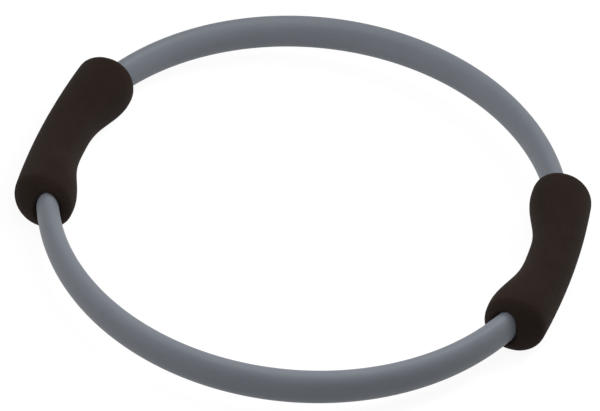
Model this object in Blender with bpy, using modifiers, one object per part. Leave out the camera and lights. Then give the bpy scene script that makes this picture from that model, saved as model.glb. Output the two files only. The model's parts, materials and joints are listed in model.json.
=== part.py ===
"""Pilates ring: an oval tube round a pair of flat fibreglass springs, with two moulded foam grips.

Metres, +Z up. The ring lies flat with its centre over the origin and the grips on -X and +X.
Z = 0 is the plane that the grips rest on. "Outer" and "inner" are away from and towards the ring's
centre, and "back" is +Y. Angles go round the ring from +X, anticlockwise from above.

The real band bends all along its length. Here it is six stiff lengths that turn about upright axes
at its six points of flexure: where it leaves each grip, and at the middle of the back and the front.
At each point one length ends in a dome round the axis, which sits in a hollow in the next length.
"""

import itertools
import math

import bmesh
import bpy
from mathutils import Matrix, Vector

# Ring and tube
RING_RADIUS = 0.180  # to the middle of the tube's section
TUBE_THICKNESS = 0.0156
TUBE_HEIGHT = 0.0272

# Two springs, side by side in the tube's slot
SPRING_THICKNESS = 0.0015
SPRING_WIDTH = 0.0180

# Grips: length along the ring, width across it, and height upright
GRIP_LENGTH = 0.150
GRIP_WAIST_WIDTH = 0.0342
GRIP_END_WIDTH = 0.0418
GRIP_WAIST_HEIGHT = 0.0401
GRIP_END_HEIGHT = 0.0487
GRIP_WAIST_SHIFT = -0.0006  # of the waist's middle from the tube's middle, outwards
GRIP_END_SHIFT = 0.0066  # the same at the grip's ends
GRIP_END_ROUNDING = 0.0110
GRIP_SWELL_REACH = 0.0610  # from the waist to where the swell is full
GRIP_SWELL_POWER = 1.45  # how late the swell sets in, where 1 is at once
GRIP_SQUARENESS = 2.1  # exponent of the section, where 2 is an ellipse
GRIP_FLAT_DEPTH = 0.0005  # pressed flat where the grip rests

# Flexure: the band turns by up to BEND_IN where it leaves a grip, and by twice that at the middles
BEND_IN = math.radians(12)
MOUTH_DEPTH = 0.0015  # of the turning axis inside the grip's end

# Rivets through the core of each grip
RIVETS_PER_GRIP = 4
RIVET_SHANK_RADIUS = 0.0020
RIVET_HEAD_RADIUS = 0.0036
RIVET_HEAD_HEIGHT = 0.0015
RIVET_RECESS = 0.0008  # of the heads below the sides of the core
RIVET_END_MARGIN = 0.0217  # along the ring, from the last rivet to the turning axis

GAP = 0.0003  # between pieces that touch

# Fineness of the facets
OVAL_POINTS = 20
ARC_STEP = math.radians(4.5)
DOME_RINGS = 3
GRIP_POINTS = 24
WAIST_RINGS = 11
ROUNDING_RINGS = 5
RIVET_STEPS = 10
SEAT_STEPS = 20
SHARP = math.radians(35)

QUARTER = math.pi / 2
IN_PLACE = Matrix()
HALF_THICKNESS = TUBE_THICKNESS / 2
HALF_HEIGHT = TUBE_HEIGHT / 2
HALF_GRIP = GRIP_LENGTH / 2
SLOT_DEPTH = SPRING_THICKNESS + 1.5 * GAP  # from the tube's middle line to each side of its slot
SEAT_RADIUS = HALF_THICKNESS + GAP
MOUTH_ANGLE = math.asin((HALF_GRIP - MOUTH_DEPTH) / RING_RADIUS)
MOUTH_RELIEF = GAP + MOUTH_DEPTH * math.tan(BEND_IN) + HALF_THICKNESS * (1 / math.cos(BEND_IN) - 1)
BEYOND = 0.010  # that a cutter passes what it cuts
BEYOND_ANGLE = BEYOND / RING_RADIUS

TUBE_GREY = (0.155, 0.168, 0.184)
FOAM_BLACK = (0.022, 0.015, 0.013)
CORE_BLACK = (0.020, 0.020, 0.021)
FIBREGLASS = (0.62, 0.55, 0.36)
RIVET_STEEL = (0.60, 0.60, 0.62)


def principled(name, colour, roughness, metallic=0.0):
    """A material of one colour (linear RGB)."""
    material = bpy.data.materials.new(name)
    material.use_nodes = True
    shader = material.node_tree.nodes["Principled BSDF"]
    shader.inputs["Base Color"].default_value = (*colour, 1)
    shader.inputs["Roughness"].default_value = roughness
    shader.inputs["Metallic"].default_value = metallic
    return material


def on_ring(angle, outwards=0.0, height=0.0):
    """The point at that angle round the ring, so far outside the tube's middle line."""
    radius = RING_RADIUS + outwards
    return Vector((radius * math.cos(angle), radius * math.sin(angle), height))


def spread(low, high, count):
    """That many values from low to high, evenly."""
    return [low + (high - low) * i / (count - 1) for i in range(count)]


def arc_steps(start, end):
    return max(2, round((end - start) / ARC_STEP))


def loft(rings):
    """A closed body through rings of points, flat at both ends."""
    bm = bmesh.new()
    loops = [[bm.verts.new(point) for point in ring] for ring in rings]
    for near, far in itertools.pairwise(loops):
        for i in range(len(near)):
            bm.faces.new((near[i - 1], near[i], far[i], far[i - 1]))
    bm.faces.new(loops[0])
    bm.faces.new(loops[-1])
    bmesh.ops.recalc_face_normals(bm, faces=bm.faces)
    return bm


def bent_bar(inner, outer, half_height, start, end):
    """A flat bar spun along the ring, between two offsets from the tube's middle line."""
    bm = bmesh.new()
    corners = [(inner, -half_height), (outer, -half_height), (outer, half_height), (inner, half_height)]
    points = [bm.verts.new(on_ring(start, across, upwards)) for across, upwards in corners]
    edges = [bm.edges.new((points[i - 1], points[i])) for i in range(len(points))]
    steps = arc_steps(start, end)
    bmesh.ops.spin(bm, geom=points + edges, axis=(0, 0, 1), angle=end - start, steps=steps)
    bmesh.ops.holes_fill(bm, edges=[edge for edge in bm.edges if edge.is_boundary])
    bmesh.ops.recalc_face_normals(bm, faces=bm.faces)
    return bm


def oval_ring(angle, grow=0.0, share=1.0, along=0.0):
    """The tube's section at that angle, wider by grow, shrunk to a share and moved along the ring."""
    tangent = Vector((-math.sin(angle), math.cos(angle), 0))
    points = []
    for i in range(OVAL_POINTS):
        turn = 2 * math.pi * i / OVAL_POINTS
        outwards = (HALF_THICKNESS + grow) * math.cos(turn) * share
        upwards = (HALF_HEIGHT + grow) * math.sin(turn) * share
        points.append(on_ring(angle, outwards, upwards) + tangent * along)
    return points


def dome_rings(angle, direction):
    """Sections of the dome about the upright axis at that angle, from its foot to its tip."""
    turns = [QUARTER * i / (DOME_RINGS + 0.4) for i in range(1, DOME_RINGS + 1)]
    return [oval_ring(angle, 0, math.cos(t), direction * HALF_THICKNESS * math.sin(t)) for t in turns]


def oval_bar(start, end, grow=0.0, dome_start=False, dome_end=False):
    """A solid length of the tube's outer form, with a dome or a flat face at each end."""
    rings = [oval_ring(angle, grow) for angle in spread(start, end, arc_steps(start, end) + 1)]
    if dome_start:
        rings = dome_rings(start, -1)[::-1] + rings
    if dome_end:
        rings += dome_rings(end, 1)
    return loft(rings)


def spheroid():
    """The hollow that a dome turns in, about its axis."""
    bm = bmesh.new()
    bmesh.ops.create_uvsphere(bm, u_segments=SEAT_STEPS, v_segments=SEAT_STEPS // 2, radius=SEAT_RADIUS)
    bmesh.ops.scale(bm, vec=(1, 1, (HALF_HEIGHT + GAP) / SEAT_RADIUS), verts=bm.verts)
    return bm


def seat_setback(turn):
    """The angle round the ring by which a seat stops short of its axis, to let the band turn so far."""
    return SEAT_RADIUS * math.sin(turn) / RING_RADIUS


def end_share(station):
    """0 at the grip's waist and 1 where its swell is full, eased, for a place along it."""
    reached = min(1.0, abs(station) / GRIP_SWELL_REACH)
    return 0.5 * (1 - math.cos(math.pi * reached**GRIP_SWELL_POWER))


def rounding_share(station):
    """The share of its full section that the grip keeps at a place in its rounded ends."""
    past = max(0.0, abs(station) - (HALF_GRIP - GRIP_END_ROUNDING)) / GRIP_END_ROUNDING
    return math.sqrt(1 - past * past)


def grip_half_height(station):
    height = GRIP_WAIST_HEIGHT + (GRIP_END_HEIGHT - GRIP_WAIST_HEIGHT) * end_share(station)
    return height / 2 * rounding_share(station)


def grip_middle_and_half_width(station):
    """Across the ring: the section's middle, from the ring's centre, and half its width."""
    waist_middle = RING_RADIUS + GRIP_WAIST_SHIFT
    end_middle = math.sqrt(RING_RADIUS**2 - HALF_GRIP**2) + GRIP_END_SHIFT
    outer_waist, outer_end = waist_middle + GRIP_WAIST_WIDTH / 2, end_middle + GRIP_END_WIDTH / 2
    inner_waist, inner_end = waist_middle - GRIP_WAIST_WIDTH / 2, end_middle - GRIP_END_WIDTH / 2
    outer = outer_waist + (outer_end - outer_waist) * (station / HALF_GRIP) ** 2
    inner = inner_waist + (inner_end - inner_waist) * end_share(station)
    return (outer + inner) / 2, (outer - inner) / 2 * rounding_share(station)


def grip_stations():
    """Places along the grip: even along the waist, and closer round the ends."""
    straight = HALF_GRIP - GRIP_END_ROUNDING
    turns = [QUARTER * i / (ROUNDING_RINGS + 0.4) for i in range(1, ROUNDING_RINGS + 1)]
    end = [straight + GRIP_END_ROUNDING * math.sin(t) for t in turns]
    return [-station for station in reversed(end)] + spread(-straight, straight, WAIST_RINGS) + end


def grip_ring(station):
    """One section of the grip, a squared ellipse."""
    middle, half_width = grip_middle_and_half_width(station)
    half_height = grip_half_height(station)
    power = 2 / GRIP_SQUARENESS
    points = []
    for i in range(GRIP_POINTS):
        turn = 2 * math.pi * i / GRIP_POINTS
        c, s = math.cos(turn), math.sin(turn)
        across = math.copysign(abs(c) ** power, c)
        upwards = math.copysign(abs(s) ** power, s)
        points.append(Vector((middle + half_width * across, station, half_height * upwards)))
    return points


def mirrored(upper):
    """A whole profile from its upper half."""
    return upper + [(radius, -height) for radius, height in reversed(upper)]


def rivet_profile():
    """(radius, height) down the side of a rivet, from the middle of one head to that of the other."""
    top = HALF_THICKNESS - RIVET_RECESS
    crown = RIVET_HEAD_HEIGHT / 3
    head, shoulder = RIVET_HEAD_RADIUS, top - RIVET_HEAD_HEIGHT
    rim = [(head - crown, top), (head, top - crown), (head, shoulder)]
    return mirrored([(0, top), *rim, (RIVET_SHANK_RADIUS, shoulder)])


def rivet_hole_profile():
    """The same for the stepped hole that a rivet goes in, open at both sides of the core."""
    shoulder = HALF_THICKNESS - RIVET_RECESS - RIVET_HEAD_HEIGHT - GAP
    head, shank = RIVET_HEAD_RADIUS + GAP, RIVET_SHANK_RADIUS + GAP
    return mirrored([(0, BEYOND), (head, BEYOND), (head, shoulder), (shank, shoulder)])


def line_through(profile):
    bm = bmesh.new()
    points = [bm.verts.new((radius, 0, height)) for radius, height in profile]
    for near, far in itertools.pairwise(points):
        bm.edges.new((near, far))
    return bm


def turn_profile(item):
    """Turns an item's profile round its own upright axis."""
    screw = item.modifiers.new("turned", "SCREW")
    screw.steps = screw.render_steps = RIVET_STEPS
    screw.use_merge_vertices = True
    screw.merge_threshold = 0.00001


def boolean(item, other, operation="DIFFERENCE"):
    modifier = item.modifiers.new(f"{operation.lower()} {other.name}", "BOOLEAN")
    modifier.operation = operation
    modifier.object = other


class Ring:
    """The ring's two collections, and how a piece is put on the axis that carries it."""

    def __init__(self):
        level = max(grip_half_height(station) for station in grip_stations()) - GRIP_FLAT_DEPTH
        self.lift = Matrix.Translation((0, 0, level))
        self.pieces = bpy.data.collections.new("pilates_ring")
        self.cutters = bpy.data.collections.new("cutters")
        self.cutters.hide_render = True
        for collection in (self.pieces, self.cutters):
            bpy.context.scene.collection.children.link(collection)

    def put(self, name, data, collection, carrier, place):
        """An object placed in the ring's own plane, and carried by an axis."""
        item = bpy.data.objects.new(name, data)
        collection.objects.link(item)
        item.matrix_basis = self.lift @ place
        if carrier is not None:
            item.parent = carrier
            item.matrix_parent_inverse = carrier.matrix_world.inverted()
        return item

    def axis(self, name, angle, carrier):
        """An empty on the upright axis at that angle: what it carries turns about it."""
        empty = self.put(name, None, self.pieces, carrier, Matrix.Translation(on_ring(angle)))
        bpy.context.view_layer.update()
        return empty

    def mesh(self, name, bm):
        mesh = bpy.data.meshes.new(name)
        bm.to_mesh(mesh)
        bm.free()
        return mesh

    def piece(self, name, bm, material, carrier, place=IN_PLACE):
        mesh = self.mesh(name, bm)
        mesh.materials.append(material)
        mesh.shade_smooth()
        mesh.set_sharp_from_angle(angle=SHARP)
        return self.put(name, mesh, self.pieces, carrier, place)

    def cutter(self, name, bm, carrier, place=IN_PLACE):
        item = self.put(name, self.mesh(name, bm), self.cutters, carrier, place)
        item.hide_render = True
        item.display_type = "WIRE"
        return item


def add_springs(ring, name, blank, span, material, carrier, place=IN_PLACE):
    """The pair of springs in one length of band, trimmed to the form of its blank."""
    springs = []
    for side, nearest in (("outer", GAP / 2), ("inner", -GAP / 2 - SPRING_THICKNESS)):
        bar = bent_bar(nearest, nearest + SPRING_THICKNESS, SPRING_WIDTH / 2, *span)
        spring = ring.piece(f"{name}_{side}_spring", bar, material, carrier, place)
        boolean(spring, blank, "INTERSECT")
        springs.append(spring)
    return springs


def add_band_length(ring, name, start, end, materials, carrier, seat_at=None):
    """A length of tube with its springs, domed at both ends but for one where seat_at says."""
    setback = seat_setback(2 * BEND_IN)
    low = start + setback if seat_at == start else start
    high = end - setback if seat_at == end else end
    form = (low, high, 0, seat_at != start, seat_at != end)
    span = (start - BEYOND_ANGLE, end + BEYOND_ANGLE)
    blank = ring.cutter(f"{name}_blank", oval_bar(*form), carrier)
    tube = ring.piece(f"{name}_tube", oval_bar(*form), materials["tube"], carrier)
    if seat_at is not None:
        seat = ring.cutter(f"{name}_seat", spheroid(), carrier, Matrix.Translation(on_ring(seat_at)))
        boolean(blank, seat)
        boolean(tube, seat)
    slot = bent_bar(-SLOT_DEPTH, SLOT_DEPTH, SPRING_WIDTH / 2 + GAP, *span)
    boolean(tube, ring.cutter(f"{name}_slot", slot, carrier))
    add_springs(ring, name, blank, span, materials["spring"], carrier)


def add_rivets(ring, side, material, carrier, turned):
    """The rivets of one grip's core. Returns the cutters of their holes."""
    reach = MOUTH_ANGLE - RIVET_END_MARGIN / RING_RADIUS
    holes = []
    for i, angle in enumerate(spread(-reach, reach, RIVETS_PER_GRIP), 1):
        lying = Matrix.Rotation(angle, 4, "Z") @ Matrix.Rotation(QUARTER, 4, "Y")
        place = turned @ Matrix.Translation(on_ring(angle)) @ lying
        rivet = ring.piece(f"{side}_rivet_{i}", line_through(rivet_profile()), material, carrier, place)
        hole = ring.cutter(f"{side}_rivet_hole_{i}", line_through(rivet_hole_profile()), carrier, place)
        turn_profile(rivet)
        turn_profile(hole)
        holes.append(hole)
    return holes


def add_core(ring, side, materials, carrier, turned):
    """A grip's core: two moulded shells riveted together over the springs, hollowed at both ends."""
    reach = MOUTH_ANGLE - seat_setback(BEND_IN)
    span = (-reach - BEYOND_ANGLE, reach + BEYOND_ANGLE)
    blank = ring.cutter(f"{side}_core_blank", oval_bar(-reach, reach), carrier, turned)
    for i, angle in enumerate((-MOUTH_ANGLE, MOUTH_ANGLE), 1):
        place = turned @ Matrix.Translation(on_ring(angle))
        boolean(blank, ring.cutter(f"{side}_core_seat_{i}", spheroid(), carrier, place))
    layers = add_springs(ring, f"{side}_core", blank, span, materials["spring"], carrier, turned)
    for name, low, high in (("outer", SLOT_DEPTH, BEYOND), ("inner", -BEYOND, -SLOT_DEPTH)):
        half = bent_bar(low, high, HALF_HEIGHT + BEYOND, *span)
        shell = ring.piece(f"{side}_{name}_core", half, materials["core"], carrier, turned)
        boolean(shell, blank, "INTERSECT")
        layers.append(shell)
    for hole in add_rivets(ring, side, materials["rivet"], carrier, turned):
        for layer in layers:
            boolean(layer, hole)


def add_foam(ring, side, material, carrier, turned):
    """A grip's foam: a bore round its core, a little wider at the mouths, and flat where it rests."""
    form = loft([grip_ring(station) for station in grip_stations()])
    foam = ring.piece(f"{side}_grip", form, material, carrier, turned)
    reach = MOUTH_ANGLE + BEYOND_ANGLE
    for name, low, high, grow in (
        ("bore", -reach, reach, GAP),
        ("front_mouth", -reach, -MOUTH_ANGLE, MOUTH_RELIEF),
        ("back_mouth", MOUTH_ANGLE, reach, MOUTH_RELIEF),
    ):
        boolean(foam, ring.cutter(f"{side}_{name}", oval_bar(low, high, grow), carrier, turned))
    slab = bmesh.new()
    bmesh.ops.create_cube(slab, size=1)
    bmesh.ops.scale(slab, vec=(2 * GRIP_LENGTH, 2 * GRIP_LENGTH, BEYOND), verts=slab.verts)
    below = turned @ Matrix.Translation(on_ring(0, 0, -ring.lift.translation.z - BEYOND / 2))
    boolean(foam, ring.cutter(f"{side}_ground", slab, carrier, below))


def main():
    for item in list(bpy.data.objects):
        bpy.data.objects.remove(item)
    materials = {
        "tube": principled("grey_plastic", TUBE_GREY, 0.42),
        "foam": principled("nitrile_foam", FOAM_BLACK, 0.95),
        "core": principled("black_nylon", CORE_BLACK, 0.5),
        "spring": principled("fibreglass", FIBREGLASS, 0.4),
        "rivet": principled("zinc_plated_steel", RIVET_STEEL, 0.3, 1.0),
    }
    ring = Ring()
    half_turn = 2 * QUARTER
    back_left = ring.axis("back_left_axis", half_turn - MOUTH_ANGLE, None)
    back_right = ring.axis("back_right_axis", QUARTER, back_left)
    right_grip = ring.axis("right_grip_axis", MOUTH_ANGLE, back_right)
    front_left = ring.axis("front_left_axis", half_turn + MOUTH_ANGLE, None)
    front_right = ring.axis("front_right_axis", 3 * QUARTER, front_left)

    for side, carrier, angle in (("left", None, half_turn), ("right", right_grip, 0)):
        turned = Matrix.Rotation(angle, 4, "Z")
        add_core(ring, side, materials, carrier, turned)
        add_foam(ring, side, materials["foam"], carrier, turned)
    for name, start, end, carrier, seat_at in (
        ("back_right", MOUTH_ANGLE, QUARTER, back_right, None),
        ("back_left", QUARTER, half_turn - MOUTH_ANGLE, back_left, QUARTER),
        ("front_left", half_turn + MOUTH_ANGLE, 3 * QUARTER, front_left, 3 * QUARTER),
        ("front_right", 3 * QUARTER, 4 * QUARTER - MOUTH_ANGLE, front_right, None),
    ):
        add_band_length(ring, name, start, end, materials, carrier, seat_at)


main()
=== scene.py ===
"""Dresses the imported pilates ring: its foam grips, the grey sleeves, the springs and the studio.

Metres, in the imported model's own frame. The ring lies flat on its grips with its centre on the
Z axis, the grips are at -X and +X, and +Y is the back. "Outer" and "inner" are away from and
towards the ring's centre. Angles go round the ring from +X, anticlockwise from above. What follows
the ring is drawn at the angle 0, where it crosses the X axis, and is then spun or turned.
"""

from __future__ import annotations

import json
import logging
import math
from abc import ABC, abstractmethod
from collections.abc import Callable, Iterator
from contextlib import contextmanager
from dataclasses import dataclass
from enum import Enum
from itertools import pairwise

import bmesh
import bpy
from bmesh.types import BMVert
from bpy.types import Material, Node, NodeSocket, NodeTree, Object, World
from mathutils import Matrix, Vector

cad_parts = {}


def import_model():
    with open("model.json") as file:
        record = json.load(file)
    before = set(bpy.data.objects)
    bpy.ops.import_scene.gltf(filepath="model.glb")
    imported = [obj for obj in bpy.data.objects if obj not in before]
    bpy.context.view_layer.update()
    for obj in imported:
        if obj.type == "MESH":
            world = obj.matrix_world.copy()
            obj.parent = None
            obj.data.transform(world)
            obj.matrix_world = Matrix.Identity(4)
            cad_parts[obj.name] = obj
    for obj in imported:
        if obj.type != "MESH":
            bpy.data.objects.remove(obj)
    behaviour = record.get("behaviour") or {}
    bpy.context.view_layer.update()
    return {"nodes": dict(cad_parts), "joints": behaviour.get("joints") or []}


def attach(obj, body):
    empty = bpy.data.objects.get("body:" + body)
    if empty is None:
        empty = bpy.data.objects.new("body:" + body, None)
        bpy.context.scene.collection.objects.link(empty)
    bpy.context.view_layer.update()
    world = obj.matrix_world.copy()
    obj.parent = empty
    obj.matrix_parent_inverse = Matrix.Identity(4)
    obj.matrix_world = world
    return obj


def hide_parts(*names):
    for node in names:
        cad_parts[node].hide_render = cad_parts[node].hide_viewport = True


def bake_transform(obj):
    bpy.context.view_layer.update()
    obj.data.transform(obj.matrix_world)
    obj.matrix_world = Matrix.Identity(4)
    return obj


log = logging.getLogger("pilates_ring")

Point = tuple[float, float, float]
Colour = tuple[float, float, float, float]

MM = 0.001
QUARTER = math.pi / 2
UP = Vector((0, 0, 1))
MERGE = 0.00001  # how near each other two points are joined by a mirror
ON_PLANE = 0.000001  # how near a cutting plane a point counts as on it
FLAT_TIP = 0.3  # the share of a step that stays flat at the tip of a rounded end
UNROLLED = "unrolled_mm"  # the attribute with each point's place along the band


class Choice(Enum):
    """A choice whose name is a word in the names of nodes, bodies and pieces."""

    @property
    def word(self) -> str:
        """The choice's word."""
        return self.name.lower()


class Side(Choice):
    """The two grips, by the angle round the ring at which each has its middle."""

    RIGHT = 0.0
    LEFT = math.pi


class Half(Choice):
    """The two lengths of band between the grips, by the turn from the back one."""

    BACK = 0.0
    FRONT = math.pi


class Layer(Choice):
    """The two springs that lie side by side, by the side of the band's middle line."""

    OUTER = 1
    INNER = -1


# Working on meshes


def between(low: float, high: float, share: float) -> float:
    """Gives the value at a share of the way from low to high."""
    return low + (high - low) * share


def select_only(item: Object) -> None:
    """Selects one object and makes it the active one.

    Args:
        item: The object.
    """
    bpy.ops.object.select_all(action="DESELECT")
    item.select_set(True)
    bpy.context.view_layer.objects.active = item


@contextmanager
def editing(item: Object) -> Iterator[None]:
    """Keeps an object in edit mode for a while.

    Args:
        item: The object, which is selected first.

    Yields:
        Nothing.
    """
    select_only(item)
    bpy.ops.object.mode_set(mode="EDIT")
    yield
    bpy.ops.object.mode_set(mode="OBJECT")


def pick(item: Object, wanted: Callable[[BMVert], bool]) -> None:
    """Selects vertices of the object in edit mode, with the edges and faces between them.

    Args:
        item: The object in edit mode.
        wanted: Says of a vertex whether it is selected.
    """
    bpy.ops.mesh.select_mode(type="VERT")
    bpy.ops.mesh.select_all(action="DESELECT")
    mesh = bmesh.from_edit_mesh(item.data)
    for vertex in mesh.verts:
        vertex.select = wanted(vertex)
    mesh.select_flush(True)
    bmesh.update_edit_mesh(item.data)


def named(name: str) -> Object:
    """Names the object that was just added, and applies its place and turn.

    Args:
        name: The object's new name, and its mesh's.

    Returns:
        The object.
    """
    item = bpy.context.object
    item.name = item.data.name = name
    bpy.ops.object.transform_apply(location=True, rotation=True, scale=True)
    return item


def add_loop(name: str, points: int) -> Object:
    """Adds a loop of edges, a circle of radius 1 that stands upright and square to Y."""
    bpy.ops.mesh.primitive_circle_add(vertices=points, radius=1.0, rotation=(QUARTER, 0, 0))
    return named(name)


def add_squared_loop(name: str, points: int, fullness: float) -> Object:
    """Adds the same loop as a circle whose four quarters are drawn out towards the corners.

    Args:
        name: The object's name.
        points: How many vertices the loop has.
        fullness: How much longer the handles of its quarters are than a circle's.

    Returns:
        The loop's object, at the origin.
    """
    bpy.ops.curve.primitive_bezier_circle_add(radius=1.0, rotation=(QUARTER, 0, 0))
    curve = bpy.context.object.data
    knots = curve.splines[0].bezier_points
    curve.resolution_u = points // len(knots)
    for knot in knots:
        knot.handle_left_type = knot.handle_right_type = "FREE"
        knot.handle_left = knot.co + (knot.handle_left - knot.co) * fullness
        knot.handle_right = knot.co + (knot.handle_right - knot.co) * fullness
    bpy.ops.object.convert(target="MESH")
    return named(name)


def place_loop(half_width: float, half_height: float, place: Point) -> None:
    """Selects a new loop in edit mode, makes it an oval and moves it to its place.

    Args:
        half_width: Half the oval's size across the ring.
        half_height: Half its height.
        place: Where its middle goes.
    """
    bpy.ops.mesh.select_all(action="SELECT")
    bpy.ops.transform.resize(value=(half_width, 1, half_height), center_override=(0, 0, 0))
    bpy.ops.transform.translate(value=place)


def draw_out(step: Point, widen: float, heighten: float, middle: Point) -> None:
    """Extrudes the selected loop by a step, and resizes the new one about a middle."""
    bpy.ops.mesh.extrude_edges_move(TRANSFORM_OT_translate={"value": step})
    bpy.ops.transform.resize(value=(widen, 1, heighten), center_override=middle)


def spin_selected(angle: float, steps: int) -> None:
    """Spins what is selected round the ring's axis in steps, anticlockwise from above."""
    bpy.ops.mesh.spin(steps=steps, angle=angle, center=(0, 0, 0), axis=(0, 0, -1))


def turn(item: Object, angle: float) -> None:
    """Turns an object round the ring's own axis, and applies the turn to its mesh.

    Args:
        item: The object.
        angle: The turn, anticlockwise from above.
    """
    select_only(item)
    item.rotation_euler.z = angle
    bpy.ops.object.transform_apply(location=True, rotation=True, scale=True)


def apply_modifier(item: Object, kind: str, **settings: object) -> None:
    """Puts a modifier on an object and applies it.

    Args:
        item: The object.
        kind: The modifier's type, such as "MIRROR".
        settings: The modifier's own settings.
    """
    select_only(item)
    modifier = item.modifiers.new(kind.lower(), kind)
    for setting, value in settings.items():
        setattr(modifier, setting, value)
    bpy.ops.object.modifier_apply(modifier=modifier.name)


def copy_of(item: Object, name: str) -> Object:
    """Copies an object together with its mesh.

    Args:
        item: The object.
        name: The copy's name, and its mesh's.

    Returns:
        The copy.
    """
    select_only(item)
    bpy.ops.object.duplicate()
    copy = bpy.context.object
    copy.name = copy.data.name = name
    return copy


def discard(*items: Object) -> None:
    """Removes objects that only helped to shape others."""
    for item in items:
        bpy.data.objects.remove(item)


def smooth(item: Object, sharp: float = 40.0) -> None:
    """Turns a mesh's faces outwards and shades it smooth.

    Args:
        item: The mesh object.
        sharp: The angle in degrees past which an edge stays sharp.
    """
    with editing(item):
        bpy.ops.mesh.select_all(action="SELECT")
        bpy.ops.mesh.normals_make_consistent(inside=False)
    bpy.ops.object.shade_smooth_by_angle(angle=math.radians(sharp))


# Materials


def linear(colour: str) -> Colour:
    """Turns an sRGB colour into the linear one that shaders take.

    Args:
        colour: The colour, as "#RRGGBB".

    Returns:
        The linear red, green and blue, and an alpha of 1.
    """
    shares = [int(colour[i : i + 2], 16) / 255 for i in (1, 3, 5)]
    red, green, blue = (s / 12.92 if s <= 0.04045 else ((s + 0.055) / 1.055) ** 2.4 for s in shares)
    return red, green, blue, 1.0


def cleared_tree(owner: Material | World) -> NodeTree:
    """Gives a material or a world a node tree with nothing in it.

    Args:
        owner: The material or the world.

    Returns:
        Its node tree.
    """
    owner.use_nodes = True
    owner.node_tree.nodes.clear()
    return owner.node_tree


def add_node(tree: NodeTree, kind: str, inputs: dict | None = None, **settings: object) -> Node:
    """Adds a node with its settings and its links.

    Args:
        tree: The material's or the world's node tree.
        kind: The node's type, without the words ShaderNode.
        inputs: For an input's name or number, its value or the output that feeds it.
        settings: The node's own settings.

    Returns:
        The node.
    """
    node = tree.nodes.new(f"ShaderNode{kind}")
    for setting, value in settings.items():
        setattr(node, setting, value)
    for socket, value in (inputs or {}).items():
        if isinstance(value, NodeSocket):
            tree.links.new(value, node.inputs[socket])
        else:
            node.inputs[socket].default_value = value
    return node


@dataclass(frozen=True)
class Patterns:
    """The outputs of a finish's patterns, or None for what is the same all over."""

    pale: NodeSocket | None = None
    rough: NodeSocket | None = None
    high: NodeSocket | None = None


@dataclass(frozen=True)
class Finish(ABC):
    """A material of the object: what it is made of and how its surface was made.

    A pattern leads from the first colour or roughness to the last. Without one, all has the first.
    """

    name: str
    slot: str
    colours: tuple[str, ...]
    roughness: tuple[float, ...]
    relief_mm: float = 0.0
    relief: float = 1.0  # how much of that depth shows
    metallic: float = 0.0
    ior: float = 1.5  # the shader's own value, which a metal keeps
    specular: float = 0.5

    def material(self) -> Material:
        """Makes the finish's material.

        Returns:
            The material, with its own node tree.
        """
        material = bpy.data.materials.new(self.name)
        tree = cleared_tree(material)
        patterns = self.add_patterns(tree)
        colours = [linear(colour) for colour in self.colours]
        inputs = {
            "Base Color": colours[0],
            "Roughness": self.roughness[0],
            "Metallic": self.metallic,
            "IOR": self.ior,
            "Specular IOR Level": self.specular,
        }
        if patterns.pale:
            mix = {"Factor": patterns.pale, "A": colours[0], "B": colours[-1]}
            inputs["Base Color"] = add_node(tree, "Mix", mix, data_type="RGBA").outputs["Result"]
        if patterns.rough:
            low, high = self.roughness
            gloss = {"Value": patterns.rough, "To Min": low, "To Max": high}
            inputs["Roughness"] = add_node(tree, "MapRange", gloss).outputs["Result"]
        if patterns.high:
            depth = self.relief_mm * MM
            bump = {"Height": patterns.high, "Strength": self.relief, "Distance": depth}
            inputs["Normal"] = add_node(tree, "Bump", bump).outputs["Normal"]
        shader = add_node(tree, "BsdfPrincipled", inputs)
        add_node(tree, "OutputMaterial", {"Surface": shader.outputs[0]})
        return material

    @abstractmethod
    def add_patterns(self, tree: NodeTree) -> Patterns:
        """Adds the finish's patterns.

        Args:
            tree: The material's node tree.

        Returns:
            The patterns.
        """


@dataclass(frozen=True)
class ExtrudedSleeve(Finish):
    """Soft polypropylene and rubber blend, extruded: a satin skin with faint lines along it.

    The die leaves lines that run the length of the band, and cooling leaves a fine grain, so the
    gloss is soft and a little uneven. The lines and the grain are really about 0.1 mm, and are
    drawn coarser here so that they show.
    """

    name: str = "extruded_tpe"
    slot: str = "tube"
    colours: tuple[str, ...] = ("#777C84", "#7E838B")
    roughness: tuple[float, ...] = (0.4, 0.6)
    relief_mm: float = 0.1
    ior: float = 1.49
    specular: float = 0.25
    cloud_mm: float = 28.0
    grain_mm: float = 0.9
    die_line_mm: float = 0.8
    die_line_length_mm: float = 60.0
    die_line_weight: float = 0.5  # in the relief, where the grain's is 1

    def add_patterns(self, tree: NodeTree) -> Patterns:
        """Lays the patterns on the band's own unrolled coordinates, so that they bend with it.

        Args:
            tree: The material's node tree.

        Returns:
            Pale clouds, a rough grain, and die lines with the grain over them.
        """
        place = add_node(tree, "Attribute", attribute_name=UNROLLED).outputs["Vector"]
        cloud = add_node(
            tree,
            "TexNoise",
            {"Vector": place, "Scale": 1 / self.cloud_mm, "Detail": 2.0, "Roughness": 0.5},
        )
        grain = add_node(
            tree,
            "TexNoise",
            {"Vector": place, "Scale": 1 / self.grain_mm, "Detail": 3.0, "Roughness": 0.6},
        )
        stretch = (self.die_line_mm / self.die_line_length_mm, 1.0, 1.0)
        stretched = add_node(tree, "VectorMath", {0: place, 1: stretch}, operation="MULTIPLY")
        lines = add_node(
            tree,
            "TexNoise",
            {"Vector": stretched.outputs[0], "Scale": 1 / self.die_line_mm, "Detail": 1.0},
        )
        relief = add_node(
            tree,
            "Math",
            {0: lines.outputs["Fac"], 1: self.die_line_weight, 2: grain.outputs["Fac"]},
            operation="MULTIPLY_ADD",
        )
        return Patterns(cloud.outputs["Fac"], grain.outputs["Fac"], relief.outputs[0])


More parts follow.
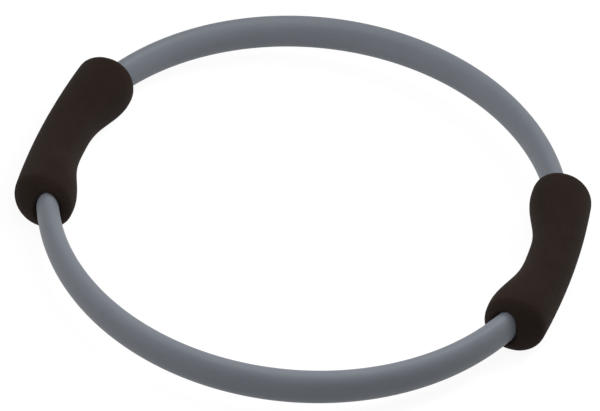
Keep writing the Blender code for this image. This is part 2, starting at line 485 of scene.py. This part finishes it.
@dataclass(frozen=True)
class MouldedFoam(Finish):
    """Nitrile rubber foam, moulded: a matte skin, finely pitted where its cells reach it.

    It takes almost no gloss, and its brown-black is a little uneven. The cells are about 0.2 mm and
    are drawn coarser here so that they show.
    """

    name: str = "moulded_nitrile_foam"
    slot: str = "foam"
    colours: tuple[str, ...] = ("#1F1511", "#261C16")
    roughness: tuple[float, ...] = (1.0,)
    relief_mm: float = 0.14
    specular: float = 0.2
    cloud_mm: float = 14.0
    cloud_span: tuple[float, float] = (0.3, 0.7)  # from all the first colour to all the last
    cell_mm: float = 0.55

    def add_patterns(self, tree: NodeTree) -> Patterns:
        """Mottles the colour and pits the skin.

        Args:
            tree: The material's node tree.

        Returns:
            Pale clouds, and a relief of cells.
        """
        place = add_node(tree, "TexCoord").outputs["Object"]
        cloud = add_node(
            tree,
            "TexNoise",
            {"Vector": place, "Scale": 1 / (self.cloud_mm * MM), "Detail": 6.0, "Roughness": 0.7},
        )
        low, high = self.cloud_span
        mottle = add_node(
            tree, "MapRange", {"Value": cloud.outputs["Fac"], "From Min": low, "From Max": high}
        )
        scale = 1 / (self.cell_mm * MM)
        cells = add_node(tree, "TexVoronoi", {"Vector": place, "Scale": scale}, feature="F1")
        skin = add_node(
            tree, "TexNoise", {"Vector": place, "Scale": scale, "Detail": 3.0, "Roughness": 0.6}
        )
        pits = add_node(
            tree, "Math", {0: cells.outputs["Distance"], 1: skin.outputs["Fac"]}, operation="ADD"
        )
        return Patterns(pale=mottle.outputs["Result"], high=pits.outputs[0])


@dataclass(frozen=True)
class MouldedNylon(Finish):
    """Nylon, injection moulded in a spark-eroded mould: black, with an even fine grain."""

    name: str = "moulded_nylon"
    slot: str = "core"
    colours: tuple[str, ...] = ("#1B1B1C",)
    roughness: tuple[float, ...] = (0.42, 0.58)
    relief_mm: float = 0.05
    relief: float = 0.4
    ior: float = 1.53
    grain_mm: float = 0.5

    def add_patterns(self, tree: NodeTree) -> Patterns:
        """Grains the surface and its gloss.

        Args:
            tree: The material's node tree.

        Returns:
            One grain for both.
        """
        place = add_node(tree, "TexCoord").outputs["Object"]
        scale = 1 / (self.grain_mm * MM)
        grain = add_node(tree, "TexNoise", {"Vector": place, "Scale": scale, "Detail": 3.0})
        return Patterns(rough=grain.outputs["Fac"], high=grain.outputs["Fac"])


@dataclass(frozen=True)
class PultrudedFibreglass(Finish):
    """Glass fibre in epoxy, pultruded: straw-coloured, with level lines where the strands show.

    The strands run along the spring, so across its height they show as fine lines of paler and
    darker straw under a clear satin skin.
    """

    name: str = "pultruded_fibreglass"
    slot: str = "spring"
    colours: tuple[str, ...] = ("#B8A878", "#D8CCA2")
    roughness: tuple[float, ...] = (0.35,)
    relief_mm: float = 0.05
    relief: float = 0.3
    ior: float = 1.55
    strand_mm: float = 0.6

    def add_patterns(self, tree: NodeTree) -> Patterns:
        """Draws the strands by their height alone, because they run level all the way round.

        Args:
            tree: The material's node tree.

        Returns:
            The strands, both pale and raised.
        """
        place = add_node(tree, "TexCoord").outputs["Object"]
        height = add_node(tree, "SeparateXYZ", {0: place}).outputs["Z"]
        strands = add_node(
            tree,
            "TexNoise",
            {"W": height, "Scale": 1 / (self.strand_mm * MM), "Detail": 3.0},
            noise_dimensions="1D",
        )
        return Patterns(pale=strands.outputs["Fac"], high=strands.outputs["Fac"])


@dataclass(frozen=True)
class ZincPlatedSteel(Finish):
    """Steel, cold headed and zinc plated: a bright bluish grey, spangled and softly dulled."""

    name: str = "zinc_plated_steel"
    slot: str = "rivet"
    colours: tuple[str, ...] = ("#C6C9CC",)
    roughness: tuple[float, ...] = (0.22, 0.44)
    metallic: float = 1.0
    spangle_mm: float = 0.7

    def add_patterns(self, tree: NodeTree) -> Patterns:
        """Dulls the plating in small patches.

        Args:
            tree: The material's node tree.

        Returns:
            The rough patches.
        """
        place = add_node(tree, "TexCoord").outputs["Object"]
        scale = 1 / (self.spangle_mm * MM)
        spangle = add_node(tree, "TexVoronoi", {"Vector": place, "Scale": scale}, feature="F1")
        return Patterns(rough=spangle.outputs["Distance"])


class Palette:
    """The finishes' materials, each made once."""

    def __init__(self) -> None:
        """Makes the materials."""
        kinds = (ExtrudedSleeve, MouldedFoam, MouldedNylon, PultrudedFibreglass, ZincPlatedSteel)
        finishes = [kind() for kind in kinds]
        self.materials = {finish.slot: finish.material() for finish in finishes}

    def dress(self, item: Object, slot: str) -> None:
        """Gives an object the material of one of the record's slots.

        Args:
            item: A new piece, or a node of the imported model.
            slot: The slot's name.
        """
        if item.material_slots:
            for each in item.material_slots:
                each.material = self.materials[slot]
        else:
            item.data.materials.append(self.materials[slot])


# The ring


@dataclass(frozen=True)
class RingLine:
    """The middle line of the band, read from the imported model's joints."""

    radius: float
    level: float
    mouth_angle: float  # at which the band turns in the right grip's back mouth

    @classmethod
    def from_joints(cls, joints: list[dict]) -> RingLine:
        """Reads the line from the joint where the back of the band leaves the left grip."""
        x, y, z = next(joint["pos_m"] for joint in joints if joint["name"] == "squeeze")
        return cls(math.hypot(x, y), z, math.atan2(y, -x))

    @property
    def centre(self) -> Vector:
        """The ring's centre, at the height of the middle line."""
        return Vector((0, 0, self.level))

    def start(self, outwards: float = 0.0, along: float = 0.0) -> Point:
        """Gives the line's point at the angle 0, or one further out or further along Y."""
        return self.radius + outwards, along, self.level

    def mouth(self, side: Side, half: Half) -> Vector:
        """Finds where the band turns in the mouth of a grip.

        Args:
            side: Which grip.
            half: Which of its two mouths.

        Returns:
            The point on the turning axis, at the height of the middle line.
        """
        x, y = self.radius * math.cos(self.mouth_angle), self.radius * math.sin(self.mouth_angle)
        across = x if side is Side.RIGHT else -x
        return Vector((across, y if half is Half.BACK else -y, self.level))

    def unroll(self, item: Object) -> None:
        """Stores each point's place in millimetres: along the band, outwards, and upwards.

        Args:
            item: A sleeve or a pair of cuffs, in its place.
        """
        places = item.data.attributes.new(UNROLLED, "FLOAT_VECTOR", "POINT")
        for vertex, place in zip(item.data.vertices, places.data, strict=True):
            x, y, z = vertex.co
            along = self.radius * math.atan2(x, abs(y))
            place.vector = Vector((along, math.hypot(x, y) - self.radius, z - self.level)) / MM


class SubAssembly(ABC):
    """A part of the ring that makes and dresses its own pieces."""

    @abstractmethod
    def build(self, palette: Palette) -> list[Object]:
        """Makes the pieces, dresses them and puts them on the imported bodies.

        Args:
            palette: The materials.

        Returns:
            The pieces.
        """


@dataclass(frozen=True)
class Station:
    """One section of a grip, square to the grip's length."""

    along: float
    middle: float
    half_width: float
    half_height: float


@dataclass
class Grip(SubAssembly):
    """A moulded foam grip: waisted, domed at both ends, with a bore that bends along the ring."""

    line: RingLine
    length: float = 0.150
    waist_width: float = 0.0342
    end_width: float = 0.0418
    waist_height: float = 0.0401
    end_height: float = 0.0487
    waist_shift: float = -0.0006  # how far outside the band's line the waist's middle lies
    end_shift: float = 0.0066  # and the middle of the ends
    end_rounding: float = 0.0110
    swell_reach: float = 0.0610  # from the grip's middle to its full width and height
    swell_power: float = 1.45  # the later the swell sets in, the higher
    fullness: float = 1.057  # of the sections' corners, where 1 is a true oval
    bore_half_width: float = 0.0081
    bore_half_height: float = 0.0139
    bore_end: float = 0.0070  # how far short of the turning axis the bore's even wall stops
    mouth_margin: float = 0.0022  # how far outside the lip the skin's last section stays
    lip_radius: float = 0.0024
    lip_slope: float = math.radians(60)  # where on its rounding the lip leaves the form
    points: int = 64
    waist_steps: int = 20
    end_steps: int = 12
    lip_steps: int = 7
    bore_steps: int = 10

    @property
    def half_length(self) -> float:
        """Half the length of the grip."""
        return self.length / 2

    @property
    def straight(self) -> float:
        """Half the length of the grip between its rounded ends."""
        return self.half_length - self.end_rounding

    @property
    def lip_half_width(self) -> float:
        """Half the width of the band's mouth where its lip begins."""
        return self.bore_half_width + self.lip_radius * (1 + math.cos(self.lip_slope))

    @property
    def lip_half_height(self) -> float:
        """Half the height of the band's mouth where its lip begins."""
        return self.lip_half_width - self.bore_half_width + self.bore_half_height

    @property
    def lip_share(self) -> float:
        """The distance from the band, as beyond_bore has it, that parts the lip's two edges."""
        return 1 + self.lip_radius / self.bore_half_height

    def station(self, along: float) -> Station:
        """Works out the grip's section at a place along it.

        Args:
            along: The distance from the grip's middle, along its length.

        Returns:
            The section, rounded off where it is in one of the ends.
        """
        reached = min(1.0, abs(along) / self.swell_reach)
        share = 0.5 * (1 - math.cos(math.pi * reached**self.swell_power))
        past = max(0.0, abs(along) - self.straight) / self.end_rounding
        rounding = math.sqrt(max(0.0, 1 - past * past))
        waist = self.line.radius + self.waist_shift
        end = math.sqrt(self.line.radius**2 - self.half_length**2) + self.end_shift
        outer = between(
            waist + self.waist_width / 2, end + self.end_width / 2, (along / self.half_length) ** 2
        )
        inner = between(waist - self.waist_width / 2, end - self.end_width / 2, share)
        height = between(self.waist_height, self.end_height, share)
        return Station(
            along, (outer + inner) / 2, (outer - inner) / 2 * rounding, height / 2 * rounding
        )

    def waist_stations(self) -> list[Station]:
        """Spaces sections evenly from the middle of the grip to its rounded end."""
        steps = self.waist_steps
        return [self.station(self.straight * i / steps) for i in range(steps + 1)]

    def tip_stations(self) -> list[Station]:
        """Spaces sections round the end, almost to its tip."""
        angles = [QUARTER * i / (self.end_steps + FLAT_TIP) for i in range(1, self.end_steps + 1)]
        return [self.station(self.straight + self.end_rounding * math.sin(a)) for a in angles]

    def mouth_stations(self) -> list[Station]:
        """Draws sections round the end that narrow towards the mouth, roughly on the form.

        Returns:
            The sections, from the waist outwards.
        """
        full = self.station(self.straight)
        width_angle = math.acos((self.lip_half_width + self.mouth_margin) / full.half_width)
        height_angle = math.acos((self.lip_half_height + self.mouth_margin) / full.half_height)
        mouth_middle = self.line.radius * math.cos(self.line.mouth_angle)
        stations = []
        for i in range(1, self.end_steps + 1):
            share = i / self.end_steps
            past = self.end_rounding * math.sin(share * (width_angle + height_angle) / 2)
            stations.append(
                Station(
                    self.straight + past,
                    between(full.middle, mouth_middle, 1 - math.cos(share * QUARTER)),
                    full.half_width * math.cos(share * width_angle),
                    full.half_height * math.cos(share * height_angle),
                )
            )
        return stations

    def loft(self, name: str, stations: list[Station]) -> Object:
        """Draws a loop out through a row of sections.

        Args:
            name: The object's name.
            stations: The sections, in order along the grip.

        Returns:
            An open skin through the sections.
        """
        item = add_squared_loop(name, self.points, self.fullness)
        first, level = stations[0], self.line.level
        with editing(item):
            place_loop(first.half_width, first.half_height, (first.middle, first.along, level))
            for near, far in pairwise(stations):
                draw_out(
                    (far.middle - near.middle, far.along - near.along, 0),
                    far.half_width / near.half_width,
                    far.half_height / near.half_height,
                    (far.middle, far.along, level),
                )
        return item

    def add_form(self) -> Object:
        """Makes the back half of the grip's outer form.

        Returns:
            The form, closed at its tip and open at the grip's middle.
        """
        form = self.loft("grip_form", self.waist_stations() + self.tip_stations())
        with editing(form):
            pick(form, lambda vertex: vertex.is_boundary and vertex.co.y > self.straight)
            bpy.ops.mesh.edge_face_add()
        return form

    def add_lip(self, form: Object) -> Object:
        """Makes the rounded edge of the mouth, where the band comes out of the form.

        The form is turned so that the band comes out along Y. An oval a little wider than the band
        is thrown back along it onto the form, and is rolled in from there.

        Args:
            form: The grip's outer form.

        Returns:
            The lip, as an open strip in its place.
        """
        turned = copy_of(form, "turned_form")
        turn(turned, -self.line.mouth_angle)
        lip = add_loop("grip_lip", self.points)
        width, height = self.lip_half_width, self.lip_half_height
        with editing(lip):
            place_loop(width, height, self.line.start(along=self.length))
        apply_modifier(
            lip,
            "SHRINKWRAP",
            target=turned,
            wrap_method="PROJECT",
            use_project_y=True,
            use_positive_direction=False,
            use_negative_direction=True,
        )
        with editing(lip):
            bpy.ops.mesh.select_all(action="SELECT")
            slope = self.lip_slope
            for i in range(1, self.lip_steps + 1):
                next_slope = between(self.lip_slope, math.pi, i / self.lip_steps)
                inwards = self.lip_radius * (math.cos(slope) - math.cos(next_slope))
                outwards = self.lip_radius * (math.sin(next_slope) - math.sin(slope))
                draw_out(
                    (0, outwards, 0),
                    (width - inwards) / width,
                    (height - inwards) / height,
                    self.line.start(),
                )
                slope, width, height = next_slope, width - inwards, height - inwards
        discard(turned)
        turn(lip, self.line.mouth_angle)
        return lip

    def add_bore(self) -> Object:
        """Spins the bore's oval along the ring, from the middle of the grip to near the mouth.

        Returns:
            The bore's wall, open at both ends.
        """
        bore = add_loop("grip_bore", self.points)
        with editing(bore):
            place_loop(self.bore_half_width, self.bore_half_height, self.line.start())
            spin_selected(self.line.mouth_angle - self.bore_end / self.line.radius, self.bore_steps)
        return bore

    def beyond_bore(self, vertex: BMVert) -> float:
        """Tells how far a vertex lies from the band's middle line.

        Args:
            vertex: The vertex.

        Returns:
            1 on the bore's own wall, and more outside it.
        """
        across = math.hypot(vertex.co.x, vertex.co.y) - self.line.radius
        upwards = vertex.co.z - self.line.level
        return math.hypot(across / self.bore_half_width, upwards / self.bore_half_height)

    def add_foam(self, name: str) -> Object:
        """Makes the right grip: half its skin, joined to its lip and its bore, and mirrored.

        Args:
            name: The object's name.

        Returns:
            One closed body, flat where it rests.
        """
        form = self.add_form()
        skin = self.loft(name, self.waist_stations() + self.mouth_stations())
        apply_modifier(skin, "SHRINKWRAP", target=form, wrap_method="NEAREST_SURFACEPOINT")
        lip, bore = self.add_lip(form), self.add_bore()
        select_only(skin)
        lip.select_set(True)
        bore.select_set(True)
        bpy.ops.object.join()
        with editing(skin):
            # The skin's edge meets the lip's outer one, and the bore's meets its inner one
            for outside in (True, False):
                pick(
                    skin,
                    lambda vertex: vertex.is_boundary
                    and vertex.co.y > self.straight / 2
                    and (self.beyond_bore(vertex) > self.lip_share) is outside,
                )
                bpy.ops.mesh.bridge_edge_loops()
            bpy.ops.mesh.select_all(action="SELECT")
            bpy.ops.mesh.bisect(
                plane_co=(0, 0, 0),
                plane_no=(0, 0, 1),
                use_fill=True,
                clear_inner=True,
                threshold=ON_PLANE,
            )
        across = (False, True, False)
        apply_modifier(skin, "MIRROR", use_axis=across, use_clip=True, merge_threshold=MERGE)
        smooth(skin)
        discard(form)
        return skin

    def build(self, palette: Palette) -> list[Object]:
        """Makes both grips' foam and puts it on the handles.

        Args:
            palette: The materials.

        Returns:
            The right grip and the left one.
        """
        right = self.add_foam("right_foam")
        left = copy_of(right, "left_foam")
        turn(left, Side.LEFT.value)
        for side, foam in ((Side.RIGHT, right), (Side.LEFT, left)):
            palette.dress(foam, "foam")
            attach(foam, f"{side.word}_handle")
            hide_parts(f"{side.word}_grip")
        return [right, left]


@dataclass
class Band(SubAssembly):
    """The oval sleeve and its two flat springs, each in one length from grip to grip."""

    line: RingLine
    half_thickness: float = 0.0078
    half_height: float = 0.0136
    spring_thickness: float = 0.0015
    spring_width: float = 0.0180
    gap: float = 0.0003  # from spring to spring, and from them to the sleeve
    corner: float = 0.0003  # the rounding of a bar's long edges
    beyond: float = 0.010  # how far past the turning axes a bar runs before it is cut
    tuck: float = 0.00085  # how far past them the sleeve keeps its full size
    points: int = 64
    arc_steps: int = 44
    dome_steps: int = 8

    def dome_sections(self) -> list[tuple[float, float]]:
        """Works out the sections of the sleeve's domed end, which turns about the mouth's axis.

        Returns:
            For each, its share of the sleeve's size, and how far it lies past the axis.
        """
        dome = math.hypot(self.half_thickness, self.tuck)
        foot = math.atan2(self.tuck, self.half_thickness)
        steps = self.dome_steps + FLAT_TIP
        angles = [foot + (QUARTER - foot) * i / steps for i in range(self.dome_steps + 1)]
        return [(dome * math.cos(a) / self.half_thickness, dome * math.sin(a)) for a in angles]

    def add_form(self) -> Object:
        """Makes the sleeve's outer form as one solid, domed at both ends.

        Returns:
            The solid, along the back of the ring.
        """
        form = add_loop("sleeve_form", self.points)
        with editing(form):
            place_loop(self.half_thickness, self.half_height, self.line.start())
            sections = [(1.0, 0.0), *self.dome_sections()]
            for (size, reach), (new_size, new_reach) in pairwise(sections):
                share = new_size / size
                draw_out((0, reach - new_reach, 0), share, share, self.line.start())
            bpy.ops.mesh.edge_face_add()
            pick(form, lambda vertex: vertex.is_boundary)
            spin_selected(QUARTER - self.line.mouth_angle, self.arc_steps)
        turn(form, self.line.mouth_angle)
        apply_modifier(form, "MIRROR", use_clip=True, merge_threshold=MERGE)
        smooth(form)
        return form

    def add_bar(self, name: str, middle: float, thickness: float, width: float) -> Object:
        """Makes a flat bar along the back of the ring, past both ends of the sleeve.

        Args:
            name: The object's name.
            middle: How far outside the ring's middle line the bar's own middle lies.
            thickness: The bar's size across the ring.
            width: The bar's height.

        Returns:
            The bar, with rounded long edges.
        """
        bpy.ops.mesh.primitive_plane_add(size=1.0, rotation=(QUARTER, 0, 0))
        bar = named(name)
        start = self.line.mouth_angle - self.beyond / self.line.radius
        with editing(bar):
            bpy.ops.mesh.select_all(action="SELECT")
            bpy.ops.mesh.delete(type="ONLY_FACE")
            bpy.ops.mesh.select_all(action="SELECT")
            bpy.ops.transform.resize(value=(thickness, 1, width), center_override=(0, 0, 0))
            bpy.ops.mesh.bevel(offset=self.corner, segments=2, affect="VERTICES")
            bpy.ops.mesh.select_all(action="SELECT")
            bpy.ops.transform.translate(value=self.line.start(outwards=middle))
            spin_selected(QUARTER - start, self.arc_steps)
        turn(bar, start)
        apply_modifier(bar, "MIRROR", use_clip=True, merge_threshold=MERGE)
        with editing(bar):
            bpy.ops.mesh.select_all(action="SELECT")
            bpy.ops.mesh.fill_holes(sides=0)
        smooth(bar)
        return bar

    def place_both(self, back: Object, material: str, node: str, palette: Palette) -> list[Object]:
        """Copies a piece to the front, dresses both and hides the imported nodes that they stand
        for.

        Args:
            back: The piece along the back of the ring.
            material: Its slot.
            node: What the names of the nodes that it stands for end in.
            palette: The materials.

        Returns:
            The back piece and the front one.
        """
        front = copy_of(back, back.name.replace(Half.BACK.word, Half.FRONT.word))
        turn(front, Half.FRONT.value)
        for half, item in ((Half.BACK, back), (Half.FRONT, front)):
            palette.dress(item, material)
            nodes = [f"{half.word}_{side.word}_{node}" for side in Side]
            self.line.mouth(Side.LEFT, half)
            self.line.mouth(Side.RIGHT, half)
            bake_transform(item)
            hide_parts(*nodes)
        return [back, front]

    def build(self, palette: Palette) -> list[Object]:
        """Makes both sleeves with their springs.

        Args:
            palette: The materials.

        Returns:
            The sleeves, the outer springs and the inner ones, the back one first in each pair.
        """
        form = self.add_form()
        slot_thickness = len(Layer) * self.spring_thickness + (len(Layer) + 1) * self.gap
        slot = self.add_bar("slot", 0, slot_thickness, self.spring_width + 2 * self.gap)
        sleeve = copy_of(form, "back_sleeve")
        apply_modifier(sleeve, "BOOLEAN", object=slot, operation="DIFFERENCE")
        leaves = {}
        for layer in Layer:
            middle = layer.value * (self.gap + self.spring_thickness) / 2
            name = f"back_{layer.word}_leaf"
            leaf = self.add_bar(name, middle, self.spring_thickness, self.spring_width)
            apply_modifier(leaf, "BOOLEAN", object=form, operation="INTERSECT")
            leaves[layer] = leaf
        discard(form, slot)
        pieces = self.place_both(sleeve, "tube", "tube", palette)
        for placed in pieces:
            self.line.unroll(placed)
        for layer, leaf in leaves.items():
            pieces += self.place_both(leaf, "spring", f"{layer.word}_spring", palette)
        return pieces


@dataclass
class Cuff(SubAssembly):
    """The last of the sleeve in each mouth, which stays in the foam when the band turns.

    It is a thin oval ring, close round the sleeve's end in front and the core's end behind.
    """

    line: RingLine
    band: Band
    start: float = 0.0009  # how far behind the turning axis the ring begins
    end: float = 0.0050  # and ends
    fit: float = 0.00002  # between the sleeve and the ring
    front_wall: float = 0.000015
    back_wall: float = 0.00008

    def corners(self) -> tuple[tuple[float, float], ...]:
        """Lists the corners of the ring's wall.

        Returns:
            For each, how far it lies behind the turning axis, and how far outside the sleeve.
        """
        return (
            (self.start, self.fit),
            (self.start, self.fit + self.front_wall),
            (self.end, self.fit + self.back_wall),
            (self.end, self.fit),
        )

    def add_ring(self, name: str) -> Object:
        """Makes one cuff, with the mouth at the angle 0.

        Args:
            name: The object's name.

        Returns:
            The closed ring.
        """
        ring = add_loop(name, self.band.points)
        width, height = self.band.half_thickness, self.band.half_height
        behind, outside = self.corners()[0]
        with editing(ring):
            place_loop(width + outside, height + outside, self.line.start(along=-behind))
            for (behind, outside), (new_behind, new_outside) in pairwise(self.corners()):
                draw_out(
                    (0, behind - new_behind, 0),
                    (width + new_outside) / (width + outside),
                    (height + new_outside) / (height + outside),
                    self.line.start(),
                )
            pick(ring, lambda vertex: vertex.is_boundary)
            bpy.ops.mesh.bridge_edge_loops()
        return ring

    def build(self, palette: Palette) -> list[Object]:
        """Makes each grip's pair of cuffs.

        Args:
            palette: The materials.

        Returns:
            The right grip's cuffs and the left grip's.
        """
        right = self.add_ring("right_cuffs")
        turn(right, self.line.mouth_angle)
        apply_modifier(right, "MIRROR", use_axis=(False, True, False), merge_threshold=MERGE)
        smooth(right)
        left = copy_of(right, "left_cuffs")
        turn(left, Side.LEFT.value)
        for side, cuffs in ((Side.RIGHT, right), (Side.LEFT, left)):
            self.line.unroll(cuffs)
            palette.dress(cuffs, "tube")
            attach(cuffs, f"{side.word}_handle")
        return [right, left]


@dataclass
class Core(SubAssembly):
    """What is sealed in a grip: the shells, the springs' middles and the rivets, as packed."""

    nodes: dict[str, Object]
    rivets: int = 4

    def build(self, palette: Palette) -> list[Object]:
        """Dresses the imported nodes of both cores, which ride on their bodies already.

        Args:
            palette: The materials.

        Returns:
            The nodes.
        """
        slots = {}
        for side in Side:
            for layer in Layer:
                slots[f"{side.word}_{layer.word}_core"] = "core"
                slots[f"{side.word}_core_{layer.word}_spring"] = "spring"
            for number in range(1, self.rivets + 1):
                slots[f"{side.word}_rivet_{number}"] = "rivet"
        for name, slot in slots.items():
            palette.dress(self.nodes[name], slot)
        return [self.nodes[name] for name in slots]


# The studio


@dataclass(frozen=True)
class Softbox:
    """A round soft light that points at the ring's centre."""

    name: str
    place: Point
    size: float
    power: float

    def build(self, aim: Vector) -> None:
        """Hangs the light in its place.

        Args:
            aim: What it points at.
        """
        data = bpy.data.lights.new(self.name, "AREA")
        data.shape = "DISK"
        data.size = self.size
        data.energy = self.power
        lamp = bpy.data.objects.new(self.name, data)
        lamp.location = self.place
        lamp.rotation_euler = (aim - lamp.location).to_track_quat("-Z", "Y").to_euler()
        bpy.context.scene.collection.objects.link(lamp)


@dataclass
class Studio:
    """A pale floor, soft lights and a camera at the photograph's angle."""

    line: RingLine
    azimuth: float = 13.90
    elevation: float = 43.66
    roll: float = 4.75
    distance: float = 2.5704
    lens: float = 219.46
    sensor_width: float = 36.0
    shift: tuple[float, float] = (-0.0069, -0.0090)
    floor_size: float = 30.0
    floor_level: float = -0.0002  # just under what the grips rest on
    white: str = "#FFFFFF"
    bounce_grey: str = "#CBCBCB"  # the floor as it lights the ring
    shadow_grey: str = "#696969"  # what the shadow on the floor is taken from
    near_glow: float = 0.92  # of the floor round the ring, where 1 is white
    shadow_reach: float = 0.45  # from the ring's centre, as far as the floor has that glow
    white_reach: float = 1.5  # and where it is wholly white
    sky: float = 0.16  # what the white all round gives as light
    softboxes: tuple[Softbox, ...] = (
        Softbox("back_softbox", place=(0.92, 0.94, 1.48), size=0.8, power=17.0),
        Softbox("front_softbox", place=(-1.15, -0.6, 0.45), size=0.8, power=3.2),
        Softbox("top_softbox", place=(0.02, -0.16, 0.5), size=0.6, power=1.5),
    )

    def seen_by_eye(self, tree: NodeTree) -> NodeSocket:
        """Tells what is seen, straight or in a gloss, from what only lights the object.

        Args:
            tree: The node tree of the floor or the world.

        Returns:
            An output that is 1 for camera, glossy and transmission rays.
        """
        path = add_node(tree, "LightPath").outputs
        seen = path["Is Camera Ray"]
        for ray in ("Is Glossy Ray", "Is Transmission Ray"):
            either = add_node(tree, "Math", {0: seen, 1: path[ray]}, operation="MAXIMUM")
            seen = either.outputs[0]
        return seen

    def add_floor(self) -> None:
        """Lays the pale floor, which shows white but keeps the object's shadow.

        It is a little less bright round the object, where the light on it makes up the rest and a
        shadow shows, and wholly white further out, where the lamps don't reach.
        """
        bpy.ops.mesh.primitive_plane_add(size=self.floor_size, location=(0, 0, self.floor_level))
        floor = named("floor")
        material = bpy.data.materials.new("white_floor")
        tree = cleared_tree(material)
        lit = add_node(tree, "BsdfDiffuse", {"Color": linear(self.bounce_grey)})
        shaded = add_node(tree, "BsdfDiffuse", {"Color": linear(self.shadow_grey)})
        place = add_node(tree, "TexCoord").outputs["Object"]
        distance = add_node(tree, "VectorMath", {0: place}, operation="LENGTH")
        strength = add_node(
            tree,
            "MapRange",
            {
                "Value": distance.outputs["Value"],
                "From Min": self.shadow_reach,
                "From Max": self.white_reach,
                "To Min": self.near_glow,
                "To Max": 1.0,
            },
        )
        glow = add_node(
            tree, "Emission", {"Color": linear(self.white), "Strength": strength.outputs["Result"]}
        )
        shown = add_node(tree, "AddShader", {0: shaded.outputs[0], 1: glow.outputs[0]})
        mixed = add_node(
            tree, "MixShader", {0: self.seen_by_eye(tree), 1: lit.outputs[0], 2: shown.outputs[0]}
        )
        add_node(tree, "OutputMaterial", {"Surface": mixed.outputs[0]})
        floor.data.materials.append(material)

    def add_world(self) -> None:
        """Surrounds the scene with white that gives only a soft grey light."""
        world = bpy.data.worlds.new("studio")
        tree = cleared_tree(world)
        strength = add_node(
            tree, "MapRange", {"Value": self.seen_by_eye(tree), "To Min": self.sky, "To Max": 1.0}
        )
        light = {"Color": linear(self.white), "Strength": strength.outputs["Result"]}
        background = add_node(tree, "Background", light)
        add_node(tree, "OutputWorld", {"Surface": background.outputs[0]})
        bpy.context.scene.world = world

    def add_camera(self) -> None:
        """Sets up the camera as the photograph has it."""
        angles = (self.azimuth, self.elevation, self.roll)
        azimuth, elevation, roll = (math.radians(angle) for angle in angles)
        back = Vector(
            (
                math.sin(azimuth) * math.cos(elevation),
                -math.cos(azimuth) * math.cos(elevation),
                math.sin(elevation),
            )
        )
        level_right = UP.cross(back).normalized()
        level_up = back.cross(level_right)
        right = math.cos(roll) * level_right + math.sin(roll) * level_up
        up = back.cross(right)
        data = bpy.data.cameras.new("camera")
        data.lens = self.lens
        data.sensor_width = self.sensor_width
        data.shift_x, data.shift_y = self.shift
        camera = bpy.data.objects.new("camera", data)
        turned = Matrix((right, up, back)).transposed().to_4x4()
        camera.matrix_world = Matrix.Translation(self.line.centre + back * self.distance) @ turned
        bpy.context.scene.collection.objects.link(camera)
        bpy.context.scene.camera = camera

    def build(self) -> None:
        """Builds the whole studio."""
        self.add_floor()
        self.add_world()
        for softbox in self.softboxes:
            softbox.build(self.line.centre)
        self.add_camera()
        bpy.context.scene.view_settings.view_transform = "Standard"


def main() -> None:
    """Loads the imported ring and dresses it."""
    logging.basicConfig(level=logging.INFO, format="%(name)s: %(message)s")
    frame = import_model()
    bpy.ops.object.select_all(action="DESELECT")
    for name in ("Cube", "Light", "Camera"):
        if name in bpy.data.objects:
            bpy.data.objects.remove(bpy.data.objects[name])
    line = RingLine.from_joints(frame["joints"])
    palette = Palette()
    band = Band(line)
    for part in (Grip(line), band, Cuff(line, band), Core(frame["nodes"])):
        for piece in part.build(palette):
            faces = len(piece.data.polygons)
            log.info("%s: %d faces of %s", piece.name, faces, piece.active_material.name)
    Studio(line).build()
    log.info("studio: built")


if __name__ == "__main__":
    main()
